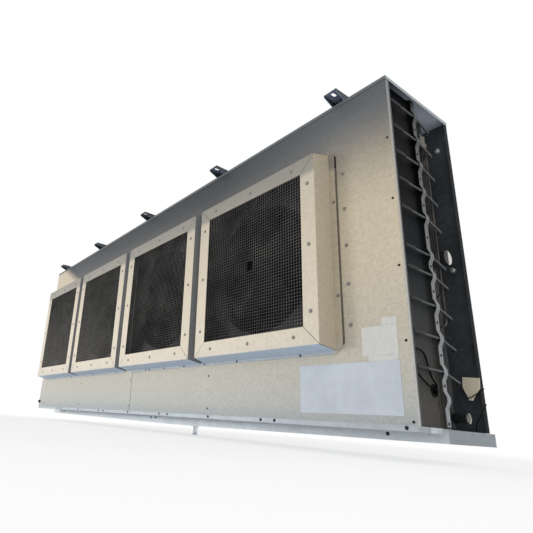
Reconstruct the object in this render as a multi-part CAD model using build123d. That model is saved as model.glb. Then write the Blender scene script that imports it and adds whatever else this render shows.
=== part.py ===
"""Ceiling-hung refrigeration evaporator with a row of guarded fans, its right end cover off.

Frame: X runs along the cabinet, Y from the fan side (-Y) to the coil side (+Y), Z up.
The origin is on the top face of the middle hanger channel, where the unit bolts to a ceiling.
All sizes are in millimetres.
"""
import os
from math import cos, radians, sin, tan

from build123d import *

# Flats that stand for a round: on a hub or pipe, on a fan ring, on a thin tube
round_sides = 12
ring_sides = 36
tube_sides = 6

# Cabinet
cabinet_length = 3262.0
cabinet_depth = 428.0
cabinet_height = 1198.0
sheet = 1.6
panel_seam = 1.0
panel_seam_offset = -22.0
top_lip = 14.0
end_flange = 22.0
left_end_zone = 47.0
right_end_zone = 238.0
plenum_depth = 186.0

# Hanger channels on the roof
hanger_count = 5
hanger_end_inset = 195.0
hanger_width = 56.0
hanger_height = 30.0
hanger_sheet = 3.0
hanger_overhang = 50.0
hanger_tip_flange = 10.0
slot_width = 13.0
slot_length = 26.0
slot_inset = 24.0

# Fan row
fan_count = 4
box_gap = 52.0
fan_row_offset = -95.5
fan_centre_height = 610.0
box_width = 692.0
box_height = 735.0
box_depth = 73.0
box_flare = 14.0
frame_width = 66.0
deck_sheet = 3.0
deck_side_margin = 28.0
deck_open_end_margin = 45.5
deck_end_margin = 10.0
deck_height_margin = 11.0
deck_corner_cut = 34.0
ring_radius = 280.0
ring_depth = 38.0
panel_hole_gap = 6.0

# Fan guard, drawn as its coarse carrier wires
guard_wire = 4.0
guard_columns = 3
guard_rows = 3

# Fan rotor and motor
rotor_tip_gap = 7.0
blade_count = 5
blade_chord = 170.0
blade_root_width = 84.0
blade_root_inset = 12.0
blade_full_radius = 190.0
blade_corner_cut = 34.0
blade_camber_radius = 260.0
blade_folds = 3
blade_thickness = 3.0
blade_pitch_angle = 28.0
hub_radius = 46.0
hub_length = 44.0
hub_front_setback = 44.0
shaft_radius = 9.5
shaft_running_gap = 0.05
motor_radius = 78.0
motor_length = 92.0
motor_nose_radius = 44.0
motor_nose_length = 10.0
motor_hub_gap = 4.0
rail_size = 26.0
rail_spacing = 120.0
rail_overlap = 22.0

# Coil
fin_slot_pitch = 74.0
fin_slot_width = 37.0
fin_slot_depth = 26.0
tube_sheet_thickness = 3.0
coil_clearance = 8.0
tube_radius = 8.0
tube_pitch = 52.7
tube_end_margin = 44.0
column_count = 4
column_pitch = 58.0
first_column_inset = 33.0
bend_lead = 14.0
bend_facets = 2
same_point = 0.001

# Refrigerant pipework in the right end
header_radius = 27.0
header_standoff = 153.0
header_end_gap = 6.0
stub_radius = 27.0
stub_wall = 2.5
stub_height = 591.0
stub_setback = 16.0
trap_radius = 17.0
trap_height = 40.0
distributor_radius = 17.0
distributor_foot_radius = 21.0
distributor_length = 52.0
distributor_drop = 120.0
distributor_setback = 37.0
inlet_radius = 8.0
inlet_length = 14.0
feeder_radius = 3.2
feeder_count = 5
feeder_spacing = 7.6
feeder_first_height = 330.0
feeder_step = 105.4
feeder_bend = 18.0

# Defrost heaters across the open end
heater_first_height = 170.0
heater_pitch = 105.4
heater_top_margin = 60.0
heater_stub_drop = 34.0
heater_radius = 4.2
heater_rear_depth = 298.0
heater_front_depth = 96.0
heater_rear_drop = 26.0
heater_bend = 16.0
sleeve_radius = 6.6
sleeve_length = 58.0
rail_face_setback = 14.0
strap_width = 22.0
strap_sheet = 1.4
strap_land = 26.0
strap_crest = 7.0
strap_end_length = 70.0
strap_foot_gap = 6.0
strap_foot_wave = 84.0
strap_rail_flange = 12.0
plenum_end_setback = 24.0

# Wire grommet and leads
grommet_height = 110.0
grommet_depth = 153.0
grommet_radius = 16.0
grommet_lip = 4.0
grommet_lip_height = 2.4
grommet_bore = 11.0
lead_radius = 2.6
lead_reach = 14.0
lead_bend = 8.0
loom_radius = 5.0
loom_low_height = 150.0

# The two hanging leads, from the loom down to the grommet and through it
upper_lead_route = [
    (1620.5, -184.0, -1010.5), (1615.0, -150.0, -1000.0), (1613.0, -106.0, -1010.0), (1613.0, -94.0, -1052.0),
    (1616.0, -82.0, -1088.0), (1624.0, -64.0, -1110.0), (1597.0, -61.0, -1112.8),
]
lower_lead_route = [
    (1620.5, -184.0, -1070.5), (1617.0, -160.0, -1080.0), (1614.0, -120.0, -1100.0), (1617.0, -84.0, -1116.0),
    (1623.0, -62.0, -1123.0), (1597.0, -61.0, -1123.2),
]

# Floor, pan and drain
floor_lip = 16.0
pan_front_setback = 133.0
pan_left_inset = 27.0
pan_right_overhang = 14.0
pan_end_drop = 40.0
pan_drain_drop = 52.0
drain_offset = 236.0
drain_radius = 16.7
drain_bore = 13.0
drain_length = 46.0
drain_collar_radius = 25.0
drain_collar_height = 7.0

# Derived planes
top_z = -hanger_height
bottom_z = top_z - cabinet_height
front_y = -cabinet_depth / 2
back_y = cabinet_depth / 2
left_x = -cabinet_length / 2
right_x = cabinet_length / 2
roof_under_z = top_z - sheet
coil_front_y = front_y + plenum_depth
coil_left_x = left_x + left_end_zone
coil_right_x = right_x - right_end_zone
fan_pitch = box_width + box_gap
fan_z = bottom_z + fan_centre_height
hanger_pitch = (cabinet_length - 2 * hanger_end_inset) / (hanger_count - 1)
fan_x = [fan_row_offset + (k - (fan_count - 1) / 2) * fan_pitch for k in range(fan_count)]
plenum_end_x = right_x - plenum_end_setback
rail_face_x = right_x - rail_face_setback
heater_x = rail_face_x + heater_radius
heater_count = int((cabinet_height - heater_first_height - heater_top_margin) / heater_pitch) + 1
stub_z = bottom_z + stub_height
heater_rows = [bottom_z + heater_first_height + k * heater_pitch for k in range(heater_count)]
heater_z = [z - heater_stub_drop if abs(z - stub_z) < heater_pitch / 2 else z for z in heater_rows]
strap_y = coil_front_y + strap_width / 2
deck_face_y = front_y - deck_sheet
ring_back_y = front_y + ring_depth
box_face_y = front_y - box_depth
rotor_radius = ring_radius - rotor_tip_gap
hub_front_y = box_face_y + hub_front_setback
hub_back_y = hub_front_y + hub_length
column_y = [coil_front_y + first_column_inset + k * column_pitch for k in range(column_count)]
header_y = column_y[-2]
distributor_y = column_y[1]
bend_count = int((cabinet_height - 2 * tube_end_margin + tube_pitch) / (2 * tube_pitch))
tube_z = [bottom_z + tube_end_margin + k * tube_pitch for k in range(2 * bend_count)]
pan_top_z = bottom_z - sheet


def block(x0, x1, y0, y1, z0, z1):
    """A box between two corners."""
    centre = Pos((x0 + x1) / 2, (y0 + y1) / 2, (z0 + z1) / 2)
    return centre * Box(x1 - x0, y1 - y0, z1 - z0)


def rod_y(x, z, radius, y0, y1):
    """A round bar along Y."""
    return Pos(x, (y0 + y1) / 2, z) * Rot(90, 0, 0) * Cylinder(radius, y1 - y0)


def facet_rod_y(x, z, radius, y0, y1, sides=round_sides):
    """A bar along Y with flat sides."""
    return extrude(Plane(origin=(x, y0, z), z_dir=(0, 1, 0)) * RegularPolygon(radius, sides), y1 - y0)


def rod_x(y, z, radius, x0, x1):
    """A round bar along X."""
    return Pos((x0 + x1) / 2, y, z) * Rot(0, 90, 0) * Cylinder(radius, x1 - x0)


def rod_z(x, y, radius, z0, z1):
    """A round bar along Z."""
    return Pos(x, y, (z0 + z1) / 2) * Cylinder(radius, z1 - z0)


def rounded_route(points, bend):
    """The points of a route whose corners are turned in short chords of a circle."""
    corners = [Vector(*p) for p in points]
    route = [corners[0]]
    for before, corner, after in zip(corners, corners[1:], corners[2:]):
        come = (corner - before).normalized()
        go = (after - corner).normalized()
        turn = radians(come.get_angle(go))
        inward = (go - come * come.dot(go)).normalized()
        centre = corner - come * (bend * tan(turn / 2)) + inward * bend
        for k in range(bend_facets + 1):
            angle = turn * k / bend_facets
            point = centre - inward * (bend * cos(angle)) + come * (bend * sin(angle))
            if (point - route[-1]).length > same_point:
                route.append(point)
    return route + [corners[-1]]


def bent_tube(points, radius, bend):
    """A tube drawn with few sides, along straight runs and turned corners."""
    route = rounded_route(points, bend)
    path = Polyline(*route)
    section = Plane(origin=route[0], z_dir=route[1] - route[0]) * RegularPolygon(radius, tube_sides)
    return sweep(section, path=path, transition=Transition.RIGHT)


def prism_z(points, z0, z1):
    """A closed plan outline in X and Y, raised from z0 to z1."""
    return Pos(0, 0, z0) * extrude(make_face(Polyline(*points, close=True)), z1 - z0, dir=(0, 0, 1))


def prism_y(points, y0, y1):
    """A closed front outline in X and Z, pushed back from y0 to y1."""
    face = make_face(Plane.XZ * Polyline(*points, close=True))
    return Pos(0, y0, 0) * extrude(face, y1 - y0, dir=(0, 1, 0))


# Cabinet sheet metal

def top_panel():
    """The roof: a shallow tray, open downwards, with a lip round all four sides."""
    outer = block(left_x - sheet, right_x + sheet, front_y - sheet, back_y + sheet, top_z - top_lip, top_z)
    inner = block(left_x, right_x, front_y, back_y, top_z - top_lip, roof_under_z)
    return outer - inner


def front_panel(x0, x1, holes, flange_at_right):
    """One half of the fan wall, with a round hole behind each fan."""
    panel = block(x0, x1, front_y, front_y + sheet, bottom_z, roof_under_z)
    if flange_at_right:
        panel += block(x1 - sheet, x1, front_y, front_y + end_flange, bottom_z, roof_under_z)
    for x in holes:
        radius = ring_radius + deck_sheet + panel_hole_gap
        panel -= facet_rod_y(x, fan_z, radius, front_y - sheet, front_y + 2 * sheet, ring_sides)
    return panel


def left_end_panel():
    """The closed end: a channel whose flanges turn in behind the fan wall and beside the coil."""
    y0 = front_y + sheet
    x_front = left_x + end_flange
    outline = [
        (left_x, y0), (x_front, y0), (x_front, y0 + sheet), (left_x + sheet, y0 + sheet),
        (left_x + sheet, back_y - sheet), (coil_left_x, back_y - sheet),
        (coil_left_x, back_y), (left_x, back_y),
    ]
    return prism_z(outline, bottom_z, roof_under_z)


def rear_end_panel():
    """The back wall of the open right end, with a return along its free edge."""
    outline = [
        (coil_right_x, back_y - sheet), (right_x - sheet, back_y - sheet),
        (right_x - sheet, back_y - end_flange), (right_x, back_y - end_flange),
        (right_x, back_y), (coil_right_x, back_y),
    ]
    return prism_z(outline, bottom_z, roof_under_z)


def plenum_end_sheet():
    """Closes the fan chamber at the right end and turns in along the coil to its tube sheet."""
    y0 = front_y + sheet
    outline = [
        (plenum_end_x - sheet, y0), (plenum_end_x, y0), (plenum_end_x, coil_front_y),
        (coil_right_x, coil_front_y), (coil_right_x, coil_front_y - sheet),
        (plenum_end_x - sheet, coil_front_y - sheet),
    ]
    wall = prism_z(outline, bottom_z, roof_under_z)
    hole = rod_x(front_y + grommet_depth, bottom_z + grommet_height, grommet_radius,
                 plenum_end_x - 2 * sheet, plenum_end_x + sheet)
    return wall - hole


def plenum_floor():
    """The bottom of the fan chamber, with a lip turned down along the front and the open end."""
    floor = block(left_x, right_x, front_y, coil_front_y, bottom_z - sheet, bottom_z)
    floor += block(left_x, right_x, front_y, front_y + sheet, bottom_z - floor_lip, bottom_z)
    pan_front_y = front_y + pan_front_setback
    return floor + block(right_x - sheet, right_x, front_y, pan_front_y, bottom_z - floor_lip, bottom_z)


def drain_pan():
    """The condensate tray under the coil: its floor falls from both ends to the drain."""
    x0 = left_x + pan_left_inset
    x1 = right_x + pan_right_overhang
    y0 = front_y + pan_front_setback
    end_z = pan_top_z - pan_end_drop
    low_z = pan_top_z - pan_drain_drop

    def profile(inset, top):
        return [
            (x0 + inset, top), (x1 - inset, top), (x1 - inset, end_z + inset),
            (drain_offset, low_z + inset), (x0 + inset, end_z + inset),
        ]

    shell = prism_y(profile(0, pan_top_z), y0, back_y)
    room = prism_y(profile(sheet, pan_top_z + sheet), y0 + sheet, back_y - sheet)
    hole = rod_z(drain_offset, drain_y(), drain_bore, low_z - sheet, low_z + 4 * sheet)
    return shell - room - hole


def drain_y():
    """The drain stands in the middle of the pan's depth."""
    return (front_y + pan_front_setback + back_y) / 2


def drain_outlet():
    """The drain pipe below the pan, with the collar that seals it to the floor of the pan."""
    top = pan_top_z - pan_drain_drop
    pipe = rod_z(drain_offset, drain_y(), drain_radius, top - drain_length, top)
    seat = Plane(origin=(drain_offset, drain_y(), top - drain_collar_height))
    collar = extrude(seat * RegularPolygon(drain_collar_radius, tube_sides), drain_collar_height)
    bore = rod_z(drain_offset, drain_y(), drain_bore, top - drain_length - sheet, top + sheet)
    return pipe + collar - bore


def hanger_channel(x):
    """An inverted channel across the roof, with tapered flanges and a bolt slot on both overhanging ends."""
    half = hanger_width / 2
    y0 = front_y - hanger_overhang
    y1 = back_y + hanger_overhang
    channel = block(x - half, x + half, y0, y1, top_z, 0)
    channel -= block(x - half + hanger_sheet, x + half - hanger_sheet, y0, y1, top_z, -hanger_sheet)
    slot = extrude(Rot(0, 0, 90) * SlotOverall(slot_length, slot_width), 2 * hanger_sheet, both=True)
    for y in (y0 + slot_inset, y1 - slot_inset):
        channel -= Pos(x, y, 0) * slot
    for tip_y, lip_y in ((y0, front_y - sheet), (y1, back_y + sheet)):
        taper = Plane.YZ * Polyline((tip_y, -hanger_tip_flange), (lip_y, top_z), (tip_y, top_z), close=True)
        channel -= Pos(x - half, 0, 0) * extrude(make_face(taper), hanger_width, dir=(1, 0, 0))
    return channel


# Fans

def fan_deck(x_first, x_last, right_margin):
    """The plate that carries a pair of fans, with clipped corners and a rolled ring round each fan."""
    x0 = x_first - box_width / 2 - deck_end_margin
    x1 = x_last + box_width / 2 + right_margin
    half = box_height / 2 + box_flare + deck_height_margin
    cut = deck_corner_cut
    points = [
        (x0 + cut, fan_z - half), (x1 - cut, fan_z - half),
        (x1, fan_z - half + cut), (x1, fan_z + half - cut),
        (x1 - cut, fan_z + half), (x0 + cut, fan_z + half),
        (x0, fan_z + half - cut), (x0, fan_z - half + cut),
    ]
    plate = prism_y(points, deck_face_y, front_y)
    for x in (x_first, x_last):
        plate += facet_rod_y(x, fan_z, ring_radius + deck_sheet, deck_face_y, ring_back_y, ring_sides)
    for x in (x_first, x_last):
        plate -= facet_rod_y(x, fan_z, ring_radius, deck_face_y - sheet, ring_back_y + sheet, ring_sides)
    return plate


def tapered_block(width, height, flare, y_front, y_back):
    """A block that widens by the flare on every side from its front to its back."""
    def outline(w, h, y):
        return Plane(origin=(0, y, fan_z), x_dir=(1, 0, 0), z_dir=(0, 1, 0)) * Rectangle(w, h)

    return loft([outline(width, height, y_front), outline(width + 2 * flare, height + 2 * flare, y_back)])


def fan_box(x):
    """The sheet box in front of a fan: flared sides and a wide frame round the guard."""
    outer = tapered_block(box_width, box_height, box_flare, box_face_y, deck_face_y)
    inner = tapered_block(box_width - 2 * sheet, box_height - 2 * sheet, box_flare, box_face_y + sheet,
                          deck_face_y + sheet)
    half_w = box_width / 2 - frame_width
    half_h = box_height / 2 - frame_width
    window = block(-half_w, half_w, box_face_y - sheet, box_face_y + 2 * sheet,
                   fan_z - half_h, fan_z + half_h)
    return Pos(x, 0, 0) * (outer - inner - window)


def fan_guard(x):
    """The wire guard behind the frame: a border and the coarse carrier wires, fused where they cross."""
    half_w = box_width / 2 - frame_width / 2
    half_h = box_height / 2 - frame_width / 2
    y0 = box_face_y + sheet
    y1 = y0 + guard_wire
    border = block(-half_w, half_w, y0, y1, fan_z - half_h, fan_z + half_h)
    border -= block(-half_w + 2 * guard_wire, half_w - 2 * guard_wire, y0, y1,
                    fan_z - half_h + 2 * guard_wire, fan_z + half_h - 2 * guard_wire)
    for k in range(guard_columns):
        u = -half_w + (k + 1) * 2 * half_w / (guard_columns + 1)
        border += block(u - guard_wire / 2, u + guard_wire / 2, y0, y1, fan_z - half_h, fan_z + half_h)
    for k in range(guard_rows):
        w = fan_z - half_h + (k + 1) * 2 * half_h / (guard_rows + 1)
        border += block(-half_w, half_w, y0, y1, w - guard_wire / 2, w + guard_wire / 2)
    return Pos(x, 0, 0) * border


def fan_blade():
    """One cambered blade: a folded section along the radius, cut to a paddle outline and pitched."""
    half = blade_chord / 2
    root = blade_root_width / 2
    root_z = hub_radius - blade_root_inset
    sag = blade_camber_radius - (blade_camber_radius ** 2 - half ** 2) ** 0.5
    stations = [half * (2 * k / blade_folds - 1) for k in range(blade_folds + 1)]
    camber_axis = sag / 2 - blade_camber_radius
    camber = [(u, (blade_camber_radius ** 2 - u ** 2) ** 0.5 + camber_axis) for u in stations]
    section = camber + [(u, v + blade_thickness) for u, v in reversed(camber)]
    # The section lies across the radius, which is Z here, and its thickness is along the fan's axis.
    strip = prism_z(section, 0, rotor_radius)
    tip_z = (rotor_radius ** 2 - (half - blade_corner_cut) ** 2) ** 0.5
    planform = [
        (-root, root_z), (root, root_z), (half, blade_full_radius), (half, tip_z - blade_corner_cut),
        (half - blade_corner_cut, tip_z), (blade_corner_cut - half, tip_z), (-half, tip_z - blade_corner_cut),
        (-half, blade_full_radius),
    ]
    paddle = strip & prism_y(planform, -blade_chord, blade_chord)
    return Pos(0, (hub_front_y + hub_back_y) / 2, 0) * Rot(0, 0, blade_pitch_angle) * paddle


def fan_rotor(x):
    """Hub and blades in one piece, bored for the motor shaft."""
    rotor = facet_rod_y(0, 0, hub_radius, hub_front_y, hub_back_y)
    blade = fan_blade()
    for k in range(blade_count):
        rotor += Rot(0, k * 360 / blade_count, 0) * blade
    rotor -= rod_y(0, 0, shaft_radius + shaft_running_gap, hub_front_y - sheet, hub_back_y + sheet)
    return Pos(x, 0, fan_z) * rotor


def fan_motor(x):
    """The motor behind the fan: ribbed body, bearing nose and the shaft that carries the hub."""
    nose_y = hub_back_y + motor_hub_gap
    body_y = nose_y + motor_nose_length
    shaft = rod_y(x, fan_z, shaft_radius, hub_front_y, body_y)
    nose = facet_rod_y(x, fan_z, motor_nose_radius, nose_y, body_y)
    return shaft + nose + facet_rod_y(x, fan_z, motor_radius, body_y, body_y + motor_length)


def motor_rails(x):
    """Two angle rails behind the fan that carry the motor from the fan wall's stiffeners."""
    back = hub_back_y + motor_hub_gap + motor_nose_length + motor_length
    reach = ring_radius + deck_sheet + panel_hole_gap + rail_overlap
    rails = []
    for side in (-1, 1):
        z = fan_z + side * rail_spacing / 2
        bar = block(x - reach, x + reach, back, back + sheet * 2, z - rail_size / 2, z + rail_size / 2)
        for end in (-1, 1):
            x_end = x + end * (reach - rail_size / 2)
            bar += block(x_end - rail_size / 2, x_end + rail_size / 2, front_y + sheet, back,
                         z - rail_size / 2, z - rail_size / 2 + sheet * 2)
        rails.append(bar)
    return rails


# Coil and its end

def fin_pack():
    """The fin block, slotted between fins on its air side."""
    x0 = coil_left_x + tube_sheet_thickness
    x1 = coil_right_x - tube_sheet_thickness
    y1 = back_y - coil_clearance
    z0 = bottom_z + coil_clearance
    z1 = roof_under_z - coil_clearance
    pack = block(x0, x1, coil_front_y, y1, z0, z1)
    slots = int((x1 - x0) // fin_slot_pitch)
    first = (x0 + x1) / 2 - (slots - 1) / 2 * fin_slot_pitch
    cutters = [
        block(x - fin_slot_width / 2, x + fin_slot_width / 2, y1 - fin_slot_depth, y1 + sheet,
              z0 - sheet, z1 + sheet)
        for x in (first + k * fin_slot_pitch for k in range(slots))
    ]
    return pack - cutters


def tube_sheet(x):
    """The plate at one end of the fin block."""
    y1 = back_y - sheet
    return block(x, x + tube_sheet_thickness, coil_front_y, y1, bottom_z, roof_under_z)


def return_bends():
    """The U bends that join one coil tube to the next above it, on the first and last columns."""
    bends = []
    tip = coil_right_x + bend_lead + tube_pitch / 2
    for y in (column_y[0], column_y[-1]):
        for low, high in zip(tube_z[0::2], tube_z[1::2]):
            corners = [(coil_right_x, y, low), (tip, y, low), (tip, y, high), (coil_right_x, y, high)]
            bends.append(bent_tube(corners, tube_radius, tube_pitch / 2))
    return bends


def suction_header():
    """The suction header: a pipe with a branch from each circuit, an outlet stub and a low trap stub."""
    x = coil_right_x + header_standoff
    base = Plane(origin=(x, header_y, bottom_z + header_end_gap)) * RegularPolygon(header_radius, round_sides)
    pipe = extrude(base, cabinet_height - sheet - 2 * header_end_gap)
    for z in tube_z[0::2]:
        seat = Plane(origin=(coil_right_x, header_y, z), z_dir=(1, 0, 0))
        pipe += extrude(seat * RegularPolygon(tube_radius, tube_sides), header_standoff)
    stub_end = right_x - stub_setback
    for height, radius in ((stub_height, stub_radius), (trap_height, trap_radius)):
        pipe += rod_x(header_y, bottom_z + height, radius, x, stub_end)
    for height, radius in ((stub_height, stub_radius), (trap_height, trap_radius)):
        bore_start = x + header_radius + stub_wall
        pipe -= rod_x(header_y, bottom_z + height, radius - stub_wall, bore_start, stub_end + sheet)
    return pipe


def distributor():
    """The refrigerant distributor: a hexagonal brass body on a wider foot, with its inlet on top."""
    x = right_x - distributor_setback
    z0 = roof_under_z - distributor_drop - distributor_length
    foot_top = z0 + distributor_length / 3
    foot = Plane(origin=(x, distributor_y, z0)) * RegularPolygon(distributor_foot_radius, tube_sides)
    body = Plane(origin=(x, distributor_y, foot_top)) * RegularPolygon(distributor_radius, tube_sides)
    top = z0 + distributor_length
    inlet = Plane(origin=(x, distributor_y, top)) * RegularPolygon(inlet_radius, tube_sides)
    solid = extrude(foot, distributor_length / 3) + extrude(body, 2 * distributor_length / 3)
    return solid + extrude(inlet, inlet_length)


def feeder_tubes():
    """The thin tubes that run down from the distributor and turn in to the tube sheet, one to a circuit."""
    tubes = []
    top = roof_under_z - distributor_drop - distributor_length
    for k in range(feeder_count):
        x = right_x - distributor_setback + (k - (feeder_count - 1) / 2) * feeder_spacing
        z = bottom_z + feeder_first_height + (feeder_count - 1 - k) * feeder_step
        corners = [(x, distributor_y, top), (x, distributor_y, z), (coil_right_x, distributor_y, z)]
        tubes.append(bent_tube(corners, feeder_radius, feeder_bend))
    return tubes


# Defrost heaters

def heater_rail():
    """The upright that the heater elements lie on, joggled out from the fan chamber's end sheet."""
    x0 = plenum_end_x
    x1 = rail_face_x
    y0 = coil_front_y
    outline = [
        (x0, y0 - strap_rail_flange), (x0 + sheet, y0 - strap_rail_flange), (x0 + sheet, y0 - sheet),
        (x1, y0 - sheet), (x1, y0 + strap_width), (x1 - sheet, y0 + strap_width), (x1 - sheet, y0), (x0, y0),
    ]
    return prism_z(outline, bottom_z, roof_under_z)


def heater_strap():
    """The strap that holds the elements to the upright: flat between them, raised over each one."""
    crest_x = rail_face_x + 2 * heater_radius
    line = [(rail_face_x, bottom_z + strap_foot_gap)]
    for z in [heater_z[0] - strap_foot_wave] + heater_z:
        line += [(rail_face_x, z - strap_land), (crest_x, z - strap_crest)]
        line += [(crest_x, z + strap_crest), (rail_face_x, z + strap_land)]
    line.append((rail_face_x, heater_z[-1] + strap_end_length))
    outline = line + [(x + strap_sheet, z) for x, z in reversed(line)]
    return prism_y(outline, coil_front_y, coil_front_y + strap_width)


def heater_path(z):
    """The three corners and two ends of one element, from the tube sheet to its sleeve."""
    rear_y = front_y + heater_rear_depth
    return [
        (coil_right_x, rear_y, z - heater_rear_drop), (heater_x, rear_y, z - heater_rear_drop),
        (heater_x, strap_y, z), (heater_x, front_y + heater_front_depth, z),
    ]


def heater_rods():
    """The ten tubular elements, each bent out of the coil and across the open end."""
    return [bent_tube(heater_path(z), heater_radius, heater_bend) for z in heater_z]


def heater_sleeves():
    """The moulded rubber ends of the elements."""
    y = front_y + heater_front_depth - sleeve_length
    section = RegularPolygon(sleeve_radius, tube_sides)
    seats = [Plane(origin=(heater_x, y, z), z_dir=(0, 1, 0)) for z in heater_z]
    return [extrude(seat * section, sleeve_length) for seat in seats]


def lead_loom():
    """The bundle behind the front flange that gathers a short lead from every sleeve."""
    y_end = front_y + heater_front_depth - sleeve_length
    y_loom = y_end - lead_reach
    top = (heater_x, y_loom, heater_z[-1] + loom_radius)
    loom = bent_tube([top, (heater_x, y_loom, bottom_z + loom_low_height)], loom_radius, lead_bend)
    section = RegularPolygon(lead_radius, tube_sides)
    for z in heater_z:
        loom += extrude(Plane(origin=(heater_x, y_loom, z), z_dir=(0, 1, 0)) * section, lead_reach)
    return loom


def grommet():
    """The rubber ring in the end sheet where the leads go through."""
    centre = (plenum_end_x - sheet, front_y + grommet_depth, bottom_z + grommet_height)
    seat = Plane(origin=centre, z_dir=(1, 0, 0))
    lip = RegularPolygon(grommet_radius + grommet_lip, round_sides)
    ring = extrude(seat * RegularPolygon(grommet_radius, round_sides), sheet)
    ring += extrude(seat.offset(sheet) * lip, grommet_lip_height)
    return ring - extrude(seat * RegularPolygon(grommet_bore, round_sides), sheet + grommet_lip_height)


# Exports

def main():
    """Builds every piece and writes one file for each."""
    pieces = {
        "top_panel": top_panel(),
        "front_panel_left": front_panel(left_x, panel_seam_offset - panel_seam / 2, fan_x[:2], False),
        "front_panel_right": front_panel(panel_seam_offset + panel_seam / 2, right_x, fan_x[2:], True),
        "left_end_panel": left_end_panel(),
        "rear_end_panel": rear_end_panel(),
        "plenum_end_sheet": plenum_end_sheet(),
        "plenum_floor": plenum_floor(),
        "drain_pan": drain_pan(),
        "drain_outlet": drain_outlet(),
        "fan_deck_left": fan_deck(fan_x[0], fan_x[1], deck_side_margin),
        "fan_deck_right": fan_deck(fan_x[2], fan_x[3], deck_open_end_margin),
        "fin_pack": fin_pack(),
        "tube_sheet_left": tube_sheet(coil_left_x),
        "tube_sheet_right": tube_sheet(coil_right_x - tube_sheet_thickness),
        "return_bends": return_bends(),
        "suction_header": suction_header(),
        "distributor": distributor(),
        "feeder_tubes": feeder_tubes(),
        "heater_rail": heater_rail(),
        "heater_strap": heater_strap(),
        "heater_rods": heater_rods(),
        "heater_sleeves": heater_sleeves(),
        "lead_loom": lead_loom(),
        "heater_lead_upper": bent_tube(upper_lead_route, lead_radius, lead_bend),
        "heater_lead_lower": bent_tube(lower_lead_route, lead_radius, lead_bend),
        "grommet": grommet(),
    }
    for k in range(hanger_count):
        pieces[f"hanger_channel_{k + 1}"] = hanger_channel((k - (hanger_count - 1) / 2) * hanger_pitch)
    for k, x in enumerate(fan_x):
        pieces[f"fan_box_{k + 1}"] = fan_box(x)
        pieces[f"fan_guard_{k + 1}"] = fan_guard(x)
        pieces[f"fan_rotor_{k + 1}"] = fan_rotor(x)
        pieces[f"fan_motor_{k + 1}"] = fan_motor(x)
        pieces[f"motor_rails_{k + 1}"] = motor_rails(x)
    os.makedirs("parts", exist_ok=True)
    for name, shape in pieces.items():
        solids = shape if isinstance(shape, list) else [shape]
        export_step(Compound(children=[s for s in solids]), f"parts/{name}.step")


if __name__ == "__main__":
    main()
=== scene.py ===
from math import radians, tan

import bpy
from mathutils import Matrix, Vector


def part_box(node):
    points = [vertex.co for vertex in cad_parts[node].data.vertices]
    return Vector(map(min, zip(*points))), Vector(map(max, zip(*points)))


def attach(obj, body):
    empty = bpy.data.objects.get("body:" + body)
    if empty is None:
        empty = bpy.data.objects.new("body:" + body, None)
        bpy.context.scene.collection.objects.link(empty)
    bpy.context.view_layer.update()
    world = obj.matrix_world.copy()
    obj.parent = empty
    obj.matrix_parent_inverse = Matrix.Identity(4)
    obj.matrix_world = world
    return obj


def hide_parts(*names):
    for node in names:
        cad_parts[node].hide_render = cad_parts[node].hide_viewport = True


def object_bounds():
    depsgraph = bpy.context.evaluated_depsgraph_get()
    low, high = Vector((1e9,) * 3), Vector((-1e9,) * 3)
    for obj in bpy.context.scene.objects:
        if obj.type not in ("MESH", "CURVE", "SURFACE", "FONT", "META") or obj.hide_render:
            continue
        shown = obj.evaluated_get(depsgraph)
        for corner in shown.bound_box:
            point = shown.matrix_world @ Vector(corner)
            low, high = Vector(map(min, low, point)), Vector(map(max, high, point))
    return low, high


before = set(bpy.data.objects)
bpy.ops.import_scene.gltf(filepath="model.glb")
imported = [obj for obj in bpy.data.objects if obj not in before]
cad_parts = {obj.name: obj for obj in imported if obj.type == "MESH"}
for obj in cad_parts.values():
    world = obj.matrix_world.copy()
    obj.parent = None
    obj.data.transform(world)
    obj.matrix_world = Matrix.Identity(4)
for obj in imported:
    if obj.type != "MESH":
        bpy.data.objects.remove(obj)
cad_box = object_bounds()


# Fan wall: the cabinet's front, two galvanised steel sheets folded at their edges and screwed side by side.
# The zinc is painted with light: dark and bluish with painted shade under the roof, warm beige with painted
# sunlight, and bluish grey at the foot. At the closed left corner painted sunlight cuts the painted shade off
# on a slant.
def hex_colour(code):
    """An sRGB hex colour as the linear values that shaders take."""
    parts = [int(code[k:k + 2], 16) / 255 for k in (0, 2, 4)]
    return tuple(p / 12.92 if p <= 0.04045 else ((p + 0.055) / 1.055) ** 2.4 for p in parts) + (1.0,)


def fill(tree, socket, value):
    """Fills a socket from a node or another socket, or with a hex colour or a number."""
    if isinstance(value, bpy.types.Node):
        value = next(out for out in value.outputs if out.enabled)
    if isinstance(value, bpy.types.NodeSocket):
        tree.links.new(value, socket)
    else:
        socket.default_value = hex_colour(value) if isinstance(value, str) else value


def add(tree, kind, inputs=None, **settings):
    """Adds a shader node with its settings, and fills its inputs. A Mix takes its two colours at 6 and 7."""
    made = tree.nodes.new("ShaderNode" + kind)
    for key, value in settings.items():
        if key == "stops":
            while len(made.color_ramp.elements) < len(value):
                made.color_ramp.elements.new(1.0)
            for element, (spot, tone) in zip(made.color_ramp.elements, value):
                element.position = spot
                element.color = hex_colour(tone) if isinstance(tone, str) else (tone, tone, tone, 1)
        else:
            setattr(made, key, value)
    for key, value in (inputs or {}).items():
        fill(tree, made.inputs[key], value)
    return made


def new_material(name):
    """A node material with its tree, its shader and the object coordinates that patterns read."""
    made = bpy.data.materials.new(name)
    made.use_nodes = True
    tree = made.node_tree
    return made, tree, tree.nodes["Principled BSDF"], add(tree, "TexCoord").outputs["Object"]


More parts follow.
